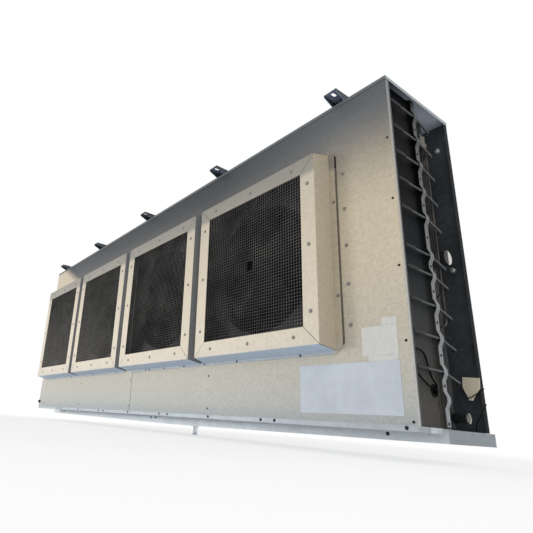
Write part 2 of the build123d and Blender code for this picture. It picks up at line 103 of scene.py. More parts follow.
def weather(tree, shader, place, colour, metallic, roughness, patch_mm, grain_mm, spread, shine=0.3):
    """Gives a surface its blotches, its fine grain, an uneven gloss and a slight tooth."""
    patch_scale = 1000 / patch_mm
    patch = add(tree, "TexNoise", {"Vector": place, "Scale": patch_scale, "Detail": 4.0, "Roughness": 0.6})
    grain = add(tree, "TexVoronoi", {"Vector": place, "Scale": 1000 / grain_mm, "Randomness": 1.0})
    cell = add(tree, "SeparateColor", {0: grain.outputs["Color"]})
    both = add(tree, "Math", {0: patch, 1: cell}, operation="ADD")
    value = add(tree, "MapRange", {0: both, 1: 0.45, 2: 1.55, 3: 1 - spread, 4: 1 + spread})
    tone = add(tree, "HueSaturation", {"Value": value, "Color": colour})
    fill(tree, shader.inputs["Base Color"], tone)
    gloss = add(tree, "MapRange", {0: patch, 1: 0.3, 2: 0.7, 3: roughness - 0.03, 4: roughness + 0.05})
    fill(tree, shader.inputs["Roughness"], gloss)
    tooth = add(tree, "Bump", {"Height": both, "Strength": 0.03, "Distance": 0.001})
    fill(tree, shader.inputs["Normal"], tooth)
    shader.inputs["Metallic"].default_value = metallic
    shader.inputs["Specular IOR Level"].default_value = shine


def dress(material, *names):
    """Gives a material to CAD nodes."""
    for name in names:
        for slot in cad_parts[name].material_slots:
            slot.material = material


# Hot-dip galvanised steel: a matt zinc coat with crystals about 7 mm across in blotches of 24 mm,
# which show as a fine grain. From a bluish grey foot, painted sunlight warms it towards the middle of its
# height.
fan_wall, tree, shader, place = new_material("galvanised_steel_fan_wall")
wall_low, wall_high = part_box("front_panel_right")
axes = add(tree, "SeparateXYZ", {0: place})
height = add(tree, "MapRange", {0: axes.outputs["Z"], 1: wall_low[2], 2: wall_high[2], 3: 0.0, 4: 1.0})
painted_sunlit_ramp = add(tree, "ValToRGB", {0: height}, stops=[
    (0.0, "A0A5A7"), (0.045, "B1B2AD"), (0.13, "B9B6AB"),
    (0.25, "BFB8A9"), (0.46, "CBBFA9"), (0.7, "C8BCA5")])

# Painted shade under the roof fades in over the upper third. Its edge wanders in waves of 260 mm, and it is
# lighter at the open end.
wave_mm = 260
wander = add(tree, "TexNoise", {"Vector": place, "Scale": 1000 / wave_mm, "Detail": 5.0})
lean = add(tree, "MapRange", {0: axes.outputs["X"], 1: 0.9, 2: 1.5, 3: 0.012, 4: -0.03})
climb = add(tree, "Math", {0: wander, 1: 0.06, 2: lean}, operation="MULTIPLY_ADD")
painted_shade_height = add(tree, "Math", {0: height, 1: climb}, operation="ADD")
painted_shade_fade = add(tree, "ValToRGB", {0: painted_shade_height}, stops=[
    (0.58, 0), (0.67, 0.16), (0.75, 0.47), (0.84, 0.80), (0.89, 0.92), (0.96, 1)])
# At the closed left corner, painted sunlight ends the painted shade along a slanted line.
corner = add(tree, "Math", {0: axes.outputs["X"], 1: 0.55, 2: 0.8155}, operation="MULTIPLY_ADD")
painted_shadow_edge = add(tree, "Math", {0: axes.outputs["Z"], 1: corner}, operation="ADD")
in_painted_shade = add(tree, "MapRange", {0: painted_shadow_edge, 1: -0.05, 2: 0.03, 3: 0.0, 4: 1.0})
painted_shade_amount = add(tree, "Math", {0: painted_shade_fade, 1: in_painted_shade}, operation="MULTIPLY")
pale_painted_shade = add(tree, "ValToRGB", {0: height}, stops=[(0.8, "6B6C6B"), (0.92, "606468"), (1.0, "585D61")])
deep_painted_shade = add(tree, "ValToRGB", {0: height}, stops=[(0.8, "545556"), (0.92, "44474B"), (1.0, "35383C")])
to_end = add(tree, "MapRange", {0: axes.outputs["X"], 1: 0.7, 2: 1.4, 3: 0.0, 4: 1.0})
painted_shade_tone = add(tree, "Mix", {0: to_end, 6: deep_painted_shade, 7: pale_painted_shade}, data_type="RGBA")
wall_colour = add(tree, "Mix", {0: painted_shade_amount, 6: painted_sunlit_ramp, 7: painted_shade_tone}, data_type="RGBA")

# The folded edge at the open end is painted light, with painted shade along its inner rim. The seam is a dark
# line.
facing = add(tree, "SeparateXYZ", {0: add(tree, "NewGeometry").outputs["Normal"]})
flange = add(tree, "Math", {0: facing.outputs["X"], 1: 0.6}, operation="GREATER_THAN")
flange_tone = add(tree, "ValToRGB", {0: height}, stops=[
    (0.0, "C3C6C6"), (0.6, "C3BDB0"), (0.85, "A5A6A3"), (1.0, "8E9193")])
rim_y = wall_low[1] + 0.012
rim_painted_shade = add(tree, "MapRange", {0: axes.outputs["Y"], 1: rim_y, 2: rim_y + 0.004, 3: 0.0, 4: 1.0})
rim = add(tree, "Mix", {0: rim_painted_shade, 6: flange_tone, 7: "4B4D4E"}, data_type="RGBA")
edged = add(tree, "Mix", {0: flange, 6: wall_colour, 7: rim}, data_type="RGBA")
seam_x = (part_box("front_panel_left")[1][0] + wall_low[0]) / 2
seam_half = 0.0022
seam = add(tree, "Math", {0: axes.outputs["X"], 1: seam_x, 2: seam_half}, operation="COMPARE")
seamed = add(tree, "Mix", {0: seam, 6: edged, 7: "5E5A52"}, data_type="RGBA")
weather(tree, shader, place, seamed, metallic=0.25, roughness=0.52, patch_mm=24, grain_mm=7, spread=0.08)
dress(fan_wall, "front_panel_left", "front_panel_right")


# Roof and hangers: a folded galvanised lid, and five steel channels spot-welded across it.
# Outside, the lid carries the wall's painted shade, with its end lip painted light and its top plain zinc.
roof, tree, shader, place = new_material("galvanised_steel_roof")
axes = add(tree, "SeparateXYZ", {0: place})
facing = add(tree, "SeparateXYZ", {0: add(tree, "NewGeometry").outputs["Normal"]})
# Its underside is painted bluish as a reflection, and brighter towards the back, light painted against the
# shade.
under = add(tree, "Math", {0: facing.outputs["Z"], 1: -0.5}, operation="LESS_THAN")
deep = add(tree, "MapRange", {0: axes.outputs["Y"], 1: -0.20, 2: 0.10, 3: 0.0, 4: 1.0})
inside = add(tree, "Mix", {0: deep, 6: "454C54", 7: "D3E0EE"}, data_type="RGBA")
roof_end = add(tree, "Math", {0: facing.outputs["X"], 1: 0.6}, operation="GREATER_THAN")
outside = add(tree, "Mix", {0: roof_end, 6: "676B6E", 7: "A9AFB2"}, data_type="RGBA")
upper = add(tree, "Math", {0: facing.outputs["Z"], 1: 0.5}, operation="GREATER_THAN")
painted_face_tones = add(tree, "Mix", {0: upper, 6: outside, 7: "989B9B"}, data_type="RGBA")
lid = add(tree, "Mix", {0: under, 6: painted_face_tones, 7: inside}, data_type="RGBA")
weather(tree, shader, place, lid, metallic=0.25, roughness=0.5, patch_mm=40, grain_mm=10, spread=0.05)
dress(roof, "top_panel")

# Zinc-coated channel: sides painted dark as shade, underside painted bluish as a reflection, and pale on top.
hanger_zinc, tree, shader, place = new_material("galvanised_steel_hanger")
facing = add(tree, "SeparateXYZ", {0: add(tree, "NewGeometry").outputs["Normal"]})
under = add(tree, "Math", {0: facing.outputs["Z"], 1: -0.5}, operation="LESS_THAN")
lower = add(tree, "Mix", {0: under, 6: "484B4D", 7: "8494A8"}, data_type="RGBA")
upper = add(tree, "Math", {0: facing.outputs["Z"], 1: 0.5}, operation="GREATER_THAN")
hanger_tone = add(tree, "Mix", {0: upper, 6: lower, 7: "878B8C"}, data_type="RGBA")
weather(tree, shader, place, hanger_tone, metallic=0.3, roughness=0.48, patch_mm=50, grain_mm=12, spread=0.1)
dress(hanger_zinc, *[f"hanger_channel_{k}" for k in range(1, 6)])


# End walls, floor and drain pan: folded galvanised sheet screwed together round the coil.
# The closed end is plain dull zinc, with soft blotches of a hand's width.
end_zinc, tree, shader, place = new_material("galvanised_steel_end_wall")
weather(tree, shader, place, "A5A49C", metallic=0.25, roughness=0.5, patch_mm=90, grain_mm=14, spread=0.07)
dress(end_zinc, "left_end_panel", "tube_sheet_left")

# The back wall of the open end is zinc: its inner face painted nearly black and smeared, as painted shade,
# with no shine.
rear_wall_painted_shade, tree, shader, place = new_material("galvanised_steel_inside_painted_shade")
rear_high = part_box("rear_end_panel")[1]
outer_skin = 0.0008
axes = add(tree, "SeparateXYZ", {0: place})
outer = add(tree, "Math", {0: axes.outputs["Y"], 1: rear_high[1] - outer_skin}, operation="GREATER_THAN")
smear_mm = 180
smear = add(tree, "TexNoise", {"Vector": place, "Scale": 1000 / smear_mm, "Detail": 6.0, "Roughness": 0.7})
smeared_painted_shade = add(tree, "ValToRGB", {0: smear}, stops=[(0.3, "3F4347"), (0.6, "53585D"), (0.8, "676D73")])
both_sides = add(tree, "Mix", {0: outer, 6: smeared_painted_shade, 7: "9A9B97"}, data_type="RGBA")
facing = add(tree, "SeparateXYZ", {0: add(tree, "NewGeometry").outputs["Normal"]})
flange = add(tree, "Math", {0: facing.outputs["X"], 1: 0.6}, operation="GREATER_THAN")
edged = add(tree, "Mix", {0: flange, 6: both_sides, 7: "1C1E20"}, data_type="RGBA")
weather(tree, shader, place, edged, metallic=0.1, roughness=0.6, patch_mm=60, grain_mm=12,
        spread=0.12, shine=0.08)
dress(rear_wall_painted_shade, "rear_end_panel")

# The end sheet of the fan chamber is bare grey-brown zinc low down, with painted shade making it nearly black
# under the roof.
chamber_end, tree, shader, place = new_material("galvanised_steel_chamber_end")
chamber_low, chamber_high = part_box("plenum_end_sheet")
axes = add(tree, "SeparateXYZ", {0: place})
height = add(tree, "MapRange", {0: axes.outputs["Z"], 1: chamber_low[2], 2: chamber_high[2], 3: 0.0, 4: 1.0})
shade = add(tree, "ValToRGB", {0: height}, stops=[
    (0.0, "57554F"), (0.25, "404142"), (0.45, "1D2022"), (0.7, "090A0C"), (1.0, "0D0F12")])
weather(tree, shader, place, shade, metallic=0.1, roughness=0.6, patch_mm=60, grain_mm=12,
        spread=0.08, shine=0.06)
# The right tube sheet and the heater rail take the same painted shade.
dress(chamber_end, "plenum_end_sheet", "tube_sheet_right", "heater_rail")

# Pan and skirt: bluish and bright, light painted in where the floor above shades them, the skirt a shade
# darker.
pan_zinc, tree, shader, place = new_material("galvanised_steel_pan")
pan_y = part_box("drain_pan")[0][1]
skirt_back = -0.15
axes = add(tree, "SeparateXYZ", {0: place})
facing = add(tree, "SeparateXYZ", {0: add(tree, "NewGeometry").outputs["Normal"]})
skirt = add(tree, "Math", {0: axes.outputs["Y"], 1: skirt_back}, operation="LESS_THAN")
front_painted_light = add(tree, "Mix", {0: skirt, 6: "C8D0D5", 7: "A7AFB4"}, data_type="RGBA")
end = add(tree, "Math", {0: facing.outputs["X"], 1: 0.6}, operation="GREATER_THAN")
behind = add(tree, "Math", {0: axes.outputs["Y"], 1: pan_y - 0.0005}, operation="GREATER_THAN")
pan_end = add(tree, "Math", {0: end, 1: behind}, operation="MULTIPLY")
pan_tone = add(tree, "Mix", {0: pan_end, 6: front_painted_light, 7: "929A9F"}, data_type="RGBA")
weather(tree, shader, place, pan_tone, metallic=0.3, roughness=0.45, patch_mm=60, grain_mm=14, spread=0.06)
dress(pan_zinc, "plenum_floor", "drain_pan")

# The drain spout is turned aluminium: bright and smooth, a little bluer towards its mouth.
drain_alloy, tree, shader, place = new_material("turned_aluminium_drain")
drain_low, drain_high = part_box("drain_outlet")
axes = add(tree, "SeparateXYZ", {0: place})
height = add(tree, "MapRange", {0: axes.outputs["Z"], 1: drain_low[2], 2: drain_high[2], 3: 0.0, 4: 1.0})
spout_tone = add(tree, "ValToRGB", {0: height}, stops=[
    (0.1, "B9BFC8"), (0.3, "E1E6EC"), (0.7, "EEF1F3"), (0.85, "F7F6F4")])
weather(tree, shader, place, spout_tone, metallic=0.75, roughness=0.3, patch_mm=30, grain_mm=8, spread=0.03)
dress(drain_alloy, "drain_outlet")


# Fan decks and boxes: steel plates behind the fans, and a folded box with a mitred frame screwed on each.
# The boxes are bright zinc, painted cream with the warmth of sunlight. A dark open joint shows at every
# mitre.
fan_low, fan_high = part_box("fan_box_1")
fan_middle = (fan_low + fan_high) / 2
fan_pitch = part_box("fan_box_2")[0][0] - fan_low[0]
face_half_width = 0.346
face_half_height = 0.3675
frame_width = 0.066
mitre_half = 0.0014
fan_centres = [fan_middle[0] + k * fan_pitch for k in range(4)]

# Each face has its own painted light: the front cream, the top edge and lid grey in painted shade, the
# underside bluish as a painted reflection, the sides between boxes in painted shade, the inside black with
# dust and painted shade.
box_zinc, tree, shader, place = new_material("bright_galvanised_fan_box")
axes = add(tree, "SeparateXYZ", {0: place})
facing = add(tree, "SeparateXYZ", {0: add(tree, "NewGeometry").outputs["Normal"]})
from_first = add(tree, "Math", {0: axes.outputs["X"], 1: -fan_centres[0]}, operation="ADD")
across = add(tree, "Math", {0: from_first, 1: fan_pitch / 2, 2: -fan_pitch / 2}, operation="WRAP")
upward = add(tree, "Math", {0: axes.outputs["Z"], 1: -fan_middle[2]}, operation="ADD")
height = add(tree, "MapRange", {0: upward, 1: -face_half_height, 2: face_half_height, 3: 0.0, 4: 1.0})
# Along the top rail the front is painted grey, as shade.
front_tone = add(tree, "ValToRGB", {0: height}, stops=[
    (0.0, "D0C8BA"), (0.09, "D4CAB8"), (0.5, "D3C8B4"), (0.88, "C9BFAD"), (0.915, "9A968C"), (1.0, "928F87")])
right_side = add(tree, "Math", {0: facing.outputs["X"], 1: 0.6}, operation="GREATER_THAN")
last = add(tree, "Math", {0: axes.outputs["X"], 1: fan_centres[3]}, operation="GREATER_THAN")
side_tone = add(tree, "Mix", {0: last, 6: "82868A", 7: "CABFAA"}, data_type="RGBA")
sided = add(tree, "Mix", {0: right_side, 6: front_tone, 7: side_tone}, data_type="RGBA")
below = add(tree, "Math", {0: facing.outputs["Z"], 1: -0.6}, operation="LESS_THAN")
skirted = add(tree, "Mix", {0: below, 6: sided, 7: "C2D3E8"}, data_type="RGBA")
above = add(tree, "Math", {0: facing.outputs["Z"], 1: 0.6}, operation="GREATER_THAN")
lidded = add(tree, "Mix", {0: above, 6: skirted, 7: "8F8D86"}, data_type="RGBA")
side_way = add(tree, "Math", {0: across, 1: facing.outputs["X"]}, operation="MULTIPLY")
up_way = add(tree, "Math", {0: upward, 1: facing.outputs["Z"], 2: side_way}, operation="MULTIPLY_ADD")
inward = add(tree, "Math", {0: up_way, 1: -0.03}, operation="LESS_THAN")
backward = add(tree, "Math", {0: facing.outputs["Y"], 1: 0.5}, operation="GREATER_THAN")
hidden = add(tree, "Math", {0: inward, 1: backward}, operation="MAXIMUM")
inner_dust_and_shade = add(tree, "Mix", {0: hidden, 6: lidded, 7: "141515"}, data_type="RGBA")
aside = add(tree, "Math", {0: across}, operation="ABSOLUTE")
from_side = add(tree, "Math", {0: aside, 1: -face_half_width}, operation="ADD")
aloft = add(tree, "Math", {0: upward}, operation="ABSOLUTE")
from_top = add(tree, "Math", {0: aloft, 1: -face_half_height}, operation="ADD")
mitre = add(tree, "Math", {0: from_side, 1: from_top, 2: mitre_half}, operation="COMPARE")
jointed = add(tree, "Mix", {0: mitre, 6: inner_dust_and_shade, 7: "4A463F"}, data_type="RGBA")
weather(tree, shader, place, jointed, metallic=0.2, roughness=0.5, patch_mm=45, grain_mm=10, spread=0.05)
dress(box_zinc, *[f"fan_box_{k}" for k in range(1, 5)])

# The deck shows a pale lip outside the boxes, darker at its top in painted shade, with a painted shadow line
# along the gap at the open end. Inside the boxes it is near black with fan dust and painted shade.
deck_zinc, tree, shader, place = new_material("galvanised_steel_fan_deck")
deck_low, deck_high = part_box("fan_deck_right")
box_margin = 0.012
gap_shadow_width = 0.004
axes = add(tree, "SeparateXYZ", {0: place})
from_first = add(tree, "Math", {0: axes.outputs["X"], 1: -fan_centres[0]}, operation="ADD")
across = add(tree, "Math", {0: from_first, 1: fan_pitch / 2}, operation="PINGPONG")
upward = add(tree, "Math", {0: axes.outputs["Z"], 1: -fan_middle[2]}, operation="ADD")
aloft = add(tree, "Math", {0: upward}, operation="ABSOLUTE")
past_side = add(tree, "Math", {0: across, 1: face_half_width + box_margin}, operation="GREATER_THAN")
past_top = add(tree, "Math", {0: aloft, 1: face_half_height + box_margin}, operation="GREATER_THAN")
outside = add(tree, "Math", {0: past_side, 1: past_top}, operation="MAXIMUM")
height = add(tree, "MapRange", {0: upward, 1: -0.4, 2: 0.4, 3: 0.0, 4: 1.0})
lip = add(tree, "ValToRGB", {0: height}, stops=[
    (0.0, "A7B0BA"), (0.12, "B9B2A2"), (0.8, "AEA593"), (1.0, "77787A")])
end_lip = add(tree, "ValToRGB", {0: height}, stops=[
    (0.0, "B3B0A8"), (0.08, "C0B5A1"), (0.87, "B8AD98"), (0.9, "8F8A80")])
last_side = fan_centres[3] + face_half_width
beside = add(tree, "Math", {0: axes.outputs["X"], 1: last_side}, operation="GREATER_THAN")
any_lip = add(tree, "Mix", {0: beside, 6: lip, 7: end_lip}, data_type="RGBA")
deck_dust_and_shade = add(tree, "Mix", {0: outside, 6: "0F1010", 7: any_lip}, data_type="RGBA")
# At the open end a painted shadow line marks the gap beside the deck's edge.
at_end = add(tree, "Math", {0: axes.outputs["X"], 1: deck_high[0] - gap_shadow_width}, operation="GREATER_THAN")
below_cut = add(tree, "Math", {0: height, 1: 0.885}, operation="LESS_THAN")
cut = add(tree, "Math", {0: at_end, 1: below_cut}, operation="MULTIPLY")
with_gap_shadow = add(tree, "Mix", {0: cut, 6: deck_dust_and_shade, 7: "68635B"}, data_type="RGBA")
weather(tree, shader, place, with_gap_shadow, metallic=0.2, roughness=0.52, patch_mm=50, grain_mm=12, spread=0.07)
dress(deck_zinc, "fan_deck_left", "fan_deck_right")


# Sheet-metal screws: cold-formed steel hex heads on a pressed washer, driven through the sheets.
# Three hold each side of every frame, and a column of them holds the right deck to the wall.
def cylinder(sides, radius, length, middle=(0, 0, 0), turn=(0, 0, 0)):
    """A cylinder to be shaped further, with its place and turn in its mesh."""
    bpy.ops.object.select_all(action="DESELECT")
    bpy.ops.mesh.primitive_cylinder_add(vertices=sides, radius=radius, depth=length, location=middle,
                                        rotation=turn)
    bpy.ops.object.transform_apply(location=True, rotation=True, scale=True)
    return bpy.context.object


def pick(piece, kind, wanted):
    """Leaves a piece in edit mode with only the wanted faces, edges or vertices selected."""
    bpy.ops.object.mode_set(mode="EDIT")
    bpy.ops.mesh.select_mode(type=kind)
    bpy.ops.mesh.select_all(action="DESELECT")
    bpy.ops.object.mode_set(mode="OBJECT")
    mesh = piece.data
    for part in {"FACE": mesh.polygons, "EDGE": mesh.edges, "VERT": mesh.vertices}[kind]:
        part.select = wanted(part)
    bpy.ops.object.mode_set(mode="EDIT")


def screw(radius, height):
    """A hex head on its washer, pointing up from the origin: a disc whose top is inset and pulled up."""
    made = cylinder(12, radius, height * 0.4, (0, 0, height * 0.2))
    pick(made, "FACE", lambda face: face.normal.z > 0.9)
    bpy.ops.mesh.inset(thickness=radius * 0.36)
    bpy.ops.mesh.extrude_region_move(TRANSFORM_OT_translate={"value": (0, 0, height * 0.5)})
    bpy.ops.mesh.inset(thickness=radius * 0.12, depth=height * 0.1)
    bpy.ops.object.mode_set(mode="OBJECT")
    bpy.ops.object.shade_smooth_by_angle(angle=radians(35))
    return made


def join(pieces):
    """Makes one piece of several."""
    bpy.ops.object.select_all(action="DESELECT")
    for piece in pieces:
        piece.select_set(True)
    bpy.context.view_layer.objects.active = pieces[0]
    bpy.ops.object.join()
    return pieces[0]


def fit(piece, name, material):
    """Names a piece, gives it its finish and fixes it to the cabinet."""
    piece.name = name
    piece.data.materials.clear()
    piece.data.materials.append(material)
    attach(piece, "cabinet")


def set_copies(name, pattern, places, material):
    """One piece made of a copy of the pattern at each place. The pattern is used up."""
    made = []
    for place in places:
        piece = pattern.copy()
        piece.data = pattern.data.copy()
        piece.data.transform(place)
        bpy.context.collection.objects.link(piece)
        made.append(piece)
    bpy.data.objects.remove(pattern)
    whole = join(made)
    fit(whole, name, material)
    return whole


def set_screws(name, radius, height, spots, turn, material):
    """Screws of one size as one piece, each turned to point out of its sheet."""
    places = [Matrix.Translation(spot) @ turn for spot in spots]
    set_copies(name, screw(radius, height), places, material)


# Zinc plate gone dull: mid grey, with little shine left.
dull_zinc, tree, shader, place = new_material("zinc_plated_steel_screw")
weather(tree, shader, place, "8C8A84", metallic=0.4, roughness=0.45, patch_mm=12, grain_mm=3, spread=0.15)
to_front = Matrix.Rotation(radians(90), 4, "X")
to_right = Matrix.Rotation(radians(90), 4, "Y")
face_y = fan_low[1]
wall_y = wall_low[1]
deck_y = deck_low[1]
rail_x = face_half_width - frame_width / 2
rail_z = face_half_height - frame_width / 2
frame_screws = []
for x in fan_centres:
    for along in (-0.25, 0.0, 0.25):
        for side in (-1, 1):
            frame_screws.append((x + along * 0.94, face_y, fan_middle[2] + side * rail_z))
            frame_screws.append((x + side * rail_x, face_y, fan_middle[2] + along))
set_screws("frame_screws", 0.0075, 0.0032, frame_screws, to_front, dull_zinc)
deck_screws = [(1.438, wall_y, z) for z in (-0.345, -0.490, -0.633, -0.775, -0.918)]
set_screws("deck_screws", 0.0072, 0.003, deck_screws, to_front, dull_zinc)
end_lip_screws = [(1.3965, deck_y, z) for z in (-0.449, -0.810)]
set_screws("end_lip_screws", 0.0068, 0.003, end_lip_screws, to_front, dull_zinc)

# Black dots along the wall's edges, the decks' lower lip, the skirt and the pan: blackened steel heads, some
# standing for open holes whose black is their painted shade. A larger plug of it fills a hole near the wall's
# closed corner.
screw_and_hole_black, tree, shader, place = new_material("blackened_screw_and_painted_hole_shade")
weather(tree, shader, place, "1E1F20", metallic=0.2, roughness=0.5, patch_mm=12, grain_mm=3, spread=0.2)
edge_screws = [(1.6185, wall_y, z) for z in (-0.285, -0.518, -0.752, -0.988, -1.218)]
edge_screws += [(x, wall_y, z) for x in (-1.506, -0.765, -0.036, 0.694) for z in (-1.058, -1.2)]
set_screws("wall_edge_screws", 0.0042, 0.002, edge_screws, to_front, screw_and_hole_black)
lip_z = deck_low[2] + 0.0055
lip_x = (-1.317, -0.962, -0.567, -0.227, 0.128, 0.169, 0.318, 0.499, 0.664, 0.885, 1.226)
lip_screws = [(x, deck_y, lip_z) for x in lip_x]
set_screws("lower_lip_screws", 0.0045, 0.0022, lip_screws, to_front, screw_and_hole_black)
skirt_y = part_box("plenum_floor")[0][1]
skirt_z = -1.2345
skirt_x = (-1.17, -1.10, -0.765, -0.431, -0.358, -0.035, 0.298, 0.374, 0.701, 1.025, 1.096, 1.597)
skirt_screws = [(x, skirt_y, skirt_z) for x in skirt_x]
set_screws("skirt_screws", 0.0058, 0.0024, skirt_screws, to_front, screw_and_hole_black)
set_screws("corner_plug", 0.013, 0.014, [(-1.617, wall_y, -1.187)], to_front, screw_and_hole_black)
pan_z = -1.2525
pan_x = (-1.42, -1.36, 0.008, 0.061, 1.458)
pan_screws = [(x, pan_y, pan_z) for x in pan_x]
set_screws("pan_screws", 0.0062, 0.0026, pan_screws, to_front, screw_and_hole_black)


# Fan guards: welded steel mesh of half-inch cells, clamped behind each frame.
# Upright and level wires touch where they are welded. The last guard has a gap three cells wide clipped out.
mesh_pitch = 0.0127
wire_thick = 0.0019
gap_guard = 3
gap_middle = Vector((1.027, 0, -0.6255))
gap_half = 0.0195

# Black paint under dust: grey-brown in clouds of 120 mm, and palest low on the far fans, where dust is thick.
cloud_mm = 120
wire_black, tree, shader, place = new_material("dusty_black_welded_wire")
dust = add(tree, "TexNoise", {"Vector": place, "Scale": 1000 / cloud_mm, "Detail": 5.0})
dust_tone = add(tree, "ValToRGB", {0: dust}, stops=[(0.35, "4E4F4F"), (0.55, "676664"), (0.75, "7D7B77")])
axes = add(tree, "SeparateXYZ", {0: place})
far_fans = add(tree, "MapRange", {0: axes.outputs["X"], 1: 0.0, 2: -0.5, 3: 0.0, 4: 0.68})
low_part = add(tree, "MapRange", {0: axes.outputs["Z"], 1: -0.4, 2: -0.85, 3: 0.15, 4: 1.0})
older = add(tree, "Math", {0: far_fans, 1: low_part}, operation="MULTIPLY")
wire_tone = add(tree, "Mix", {0: older, 6: dust_tone, 7: "B0ADA6"}, data_type="RGBA")
weather(tree, shader, place, wire_tone, metallic=0.15, roughness=0.55, patch_mm=25, grain_mm=5, spread=0.12)


def repeat(piece, count, step):
    """Repeats a piece in a straight row."""
    row = piece.modifiers.new("row", "ARRAY")
    row.count = count
    row.use_relative_offset = False
    row.use_constant_offset = True
    row.constant_offset_displace = step
    bpy.ops.object.modifier_apply(modifier="row")


def crosses_gap(piece, face, across, along, level):
    """True for a face of a wire that runs past the gap and crosses the given level."""
    ends = [piece.data.vertices[v].co[along] for v in face.vertices]
    beside_gap = abs(face.center[across] - gap_middle[across]) < gap_half
    lengthwise = max(ends) - min(ends) > 2 * wire_thick
    return beside_gap and lengthwise and min(ends) < level < max(ends)


for k in range(4):
    low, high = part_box(f"fan_guard_{k + 1}")
    middle = (low + high) / 2
    wires = []
    for across, along, y in ((0, 2, low[1] + wire_thick / 2), (2, 0, low[1] + wire_thick * 1.4)):
        count = int((high[across] - low[across]) / mesh_pitch)
        start = Vector((middle[0], y, middle[2]))
        start[across] = middle[across] - (count - 1) / 2 * mesh_pitch
        step = Vector((0, 0, 0))
        step[across] = mesh_pitch
        turn = (0, radians(90), 0) if along == 0 else (0, 0, 0)
        wire = cylinder(6, wire_thick / 2, high[along] - low[along], start, turn)
        repeat(wire, count, step)
        wires.append(wire)
    guard = join(wires)
    if k == gap_guard:
        for across, along in ((0, 2), (2, 0)):
            for side in (-gap_half, gap_half):
                level = Vector((0, 0, 0))
                level[along] = gap_middle[along] + side
                upright = Vector((0, 0, 0))
                upright[along] = 1
                pick(guard, "FACE", lambda face: crosses_gap(guard, face, across, along, level[along]))
                bpy.ops.mesh.bisect(plane_co=level, plane_no=upright)
                bpy.ops.object.mode_set(mode="OBJECT")
        pick(guard, "FACE", lambda face: all(abs(face.center[n] - gap_middle[n]) < gap_half for n in (0, 2)))
        bpy.ops.mesh.delete(type="FACE")
        bpy.ops.mesh.select_all(action="SELECT")
        bpy.ops.mesh.fill_holes(sides=0)
        bpy.ops.object.mode_set(mode="OBJECT")
    fit(guard, f"welded_mesh_{k + 1}", wire_black)
    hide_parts(f"fan_guard_{k + 1}")


# Rotors and motors: pressed aluminium blades on a hub, turned by a motor bolted to two angle rails.
# The aluminium is painted almost black, with no shine, as painted shade inside the guards.
blade_alloy, tree, shader, place = new_material("pressed_aluminium_blade_painted_shade")
weather(tree, shader, place, "101112", metallic=0.2, roughness=0.7, patch_mm=40, grain_mm=8,
        spread=0.15, shine=0.03)
dress(blade_alloy, *[f"fan_rotor_{k}" for k in range(1, 5)])

# Black enamel: matt, and painted near black with the same painted shade.
motor_black, tree, shader, place = new_material("black_enamel_motor")
weather(tree, shader, place, "0D0E0F", metallic=0.0, roughness=0.6, patch_mm=40, grain_mm=6,
        spread=0.2, shine=0.03)
dress(motor_black, *[f"fan_motor_{k}" for k in range(1, 5)], *[f"motor_rails_{k}" for k in range(1, 5)])


# Coil: several hundred thin aluminium fins pressed on to rows of copper tube, in the back of the cabinet.
# Each fin is folded in a shallow zigzag through the coil's depth, so no light passes straight between two.
coil_low, coil_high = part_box("fin_pack")
coil_middle = (coil_low + coil_high) / 2
fin_pitch = 0.00635
fin_thick = 0.0006
fin_wave = 0.0046
fin_folds = 10

# Rolled aluminium: light painted in at the back against the fins' shade, and near black with painted shade
# behind the fans.
fin_alloy, tree, shader, place = new_material("corrugated_aluminium_fin")
axes = add(tree, "SeparateXYZ", {0: place})
depth = add(tree, "MapRange", {0: axes.outputs["Y"], 1: coil_low[1], 2: coil_high[1], 3: 0.0, 4: 1.0})
fin_tone = add(tree, "ValToRGB", {0: depth}, stops=[
    (0.0, "0C0D0E"), (0.5, "141516"), (0.75, "8E9193"), (1.0, "D2D5D6")])
weather(tree, shader, place, fin_tone, metallic=0.2, roughness=0.5, patch_mm=60, grain_mm=10,
        spread=0.06, shine=0.1)

fin_room = coil_high[0] - coil_low[0] - fin_thick - fin_wave
fin_count = int(fin_room / fin_pitch) + 1
fin_depth = coil_high[1] - coil_low[1]
bpy.ops.object.select_all(action="DESELECT")
bpy.ops.mesh.primitive_cube_add(size=1, location=(coil_low[0] + (fin_thick + fin_wave) / 2, *coil_middle[1:]))
fins = bpy.context.object
fins.scale = (fin_thick, fin_depth, coil_high[2] - coil_low[2])
bpy.ops.object.transform_apply(location=True, rotation=True, scale=True)


def runs_deep(edge):
    """True for an edge of the fin that runs through the coil's depth."""
    front, back = [fins.data.vertices[v].co.y for v in edge.vertices]
    return abs(front - back) > fin_depth / 2


pick(fins, "EDGE", runs_deep)
bpy.ops.mesh.subdivide(number_cuts=fin_folds - 1)
for odd, shift in ((0, -fin_wave / 2), (1, fin_wave / 2)):
    pick(fins, "VERT", lambda vertex: round((vertex.co.y - coil_low[1]) / fin_depth * fin_folds) % 2 == odd)
    bpy.ops.transform.translate(value=(shift, 0, 0))
bpy.ops.object.mode_set(mode="OBJECT")
repeat(fins, fin_count, (fin_room / (fin_count - 1), 0, 0))
fit(fins, "coil_fins", fin_alloy)
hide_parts("fin_pack")

